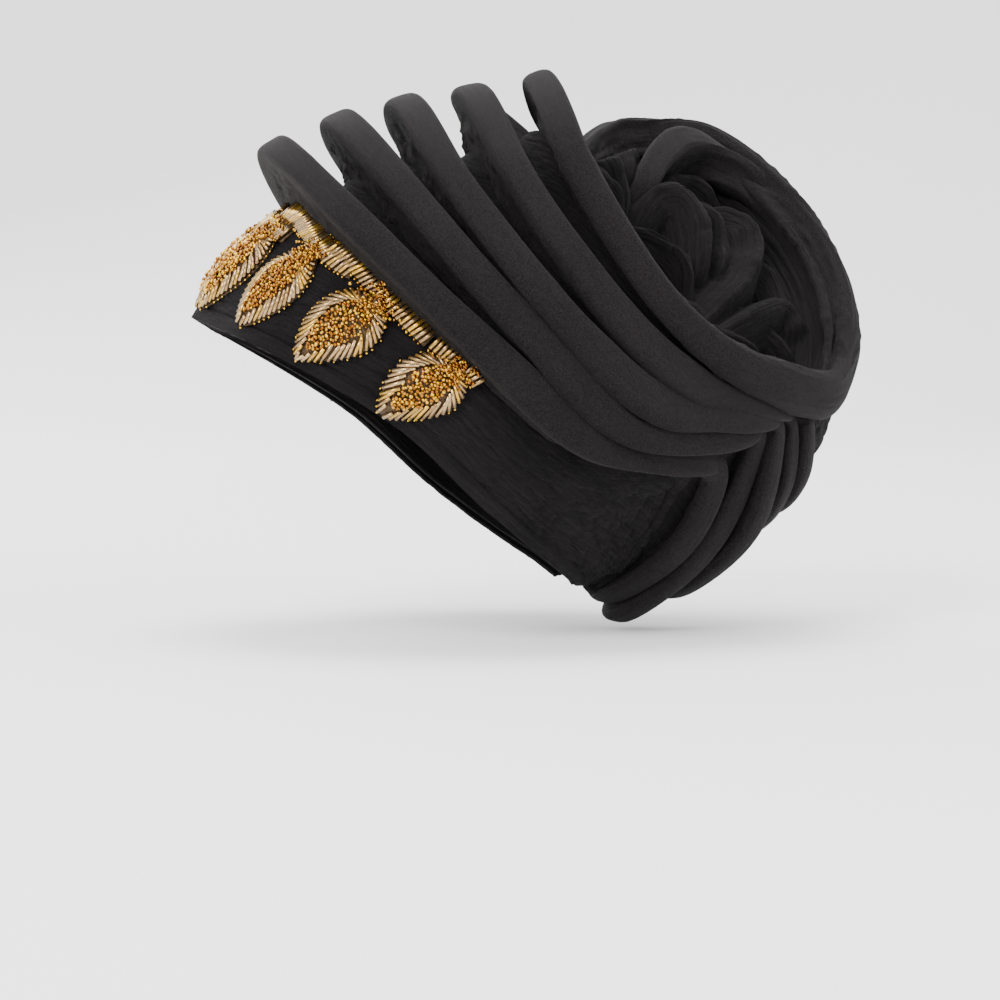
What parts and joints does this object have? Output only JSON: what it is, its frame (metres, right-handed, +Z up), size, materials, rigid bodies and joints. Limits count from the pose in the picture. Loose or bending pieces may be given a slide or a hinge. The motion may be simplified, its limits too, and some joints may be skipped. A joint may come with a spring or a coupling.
{
  "type": "gele head tie",
  "caption": "Ready-tied gele: a pleated cloth turban with padded folds over the head, a rolled bowl with a rosette behind, and beaded leaves along its band.",
  "frame": {"origin": "middle of the opening that the head goes into, level with its sides", "axes": "+Z up through the top of the head, -Y the way the wearer faces, +X to the wearer's left, where the bowl opens"},
  "size_m": [0.2048, 0.2893, 0.2389],
  "materials": {
    "crepe_cloth": "matt near-black crinkled crepe",
    "padded_cloth": "smooth near-black cloth stretched over foam",
    "bead_work": "champagne gold bugle and seed beads, polished"
  },
  "bodies": {
    "root": {"crown": "crepe_cloth", "band": "crepe_cloth", "fold_1": "padded_cloth", "fold_2": "padded_cloth", "fold_3": "padded_cloth", "fold_4": "padded_cloth", "hoop_1": "padded_cloth", "hoop_2": "padded_cloth", "hoop_3": "padded_cloth", "hoop_4": "padded_cloth", "hoop_5": "padded_cloth", "rim_roll": "padded_cloth", "rosette_fold_1": "padded_cloth", "rosette_fold_2": "padded_cloth", "rosette_fold_3": "padded_cloth", "rosette_fold_4": "padded_cloth", "rosette_fold_5": "padded_cloth", "rosette_fold_6": "padded_cloth", "rosette_fold_7": "padded_cloth", "rosette_fold_8": "padded_cloth", "rosette_fold_9": "padded_cloth", "leaf_left_1": "bead_work", "leaf_left_2": "bead_work", "leaf_left_3": "bead_work", "leaf_left_4": "bead_work", "leaf_right_1": "bead_work", "leaf_right_2": "bead_work", "leaf_right_3": "bead_work", "leaf_right_4": "bead_work", "stem_left_1": "bead_work", "stem_left_2": "bead_work", "stem_left_3": "bead_work", "stem_left_4": "bead_work", "stem_right_1": "bead_work", "stem_right_2": "bead_work", "stem_right_3": "bead_work", "stem_right_4": "bead_work"}
  },
  "joints": []
}
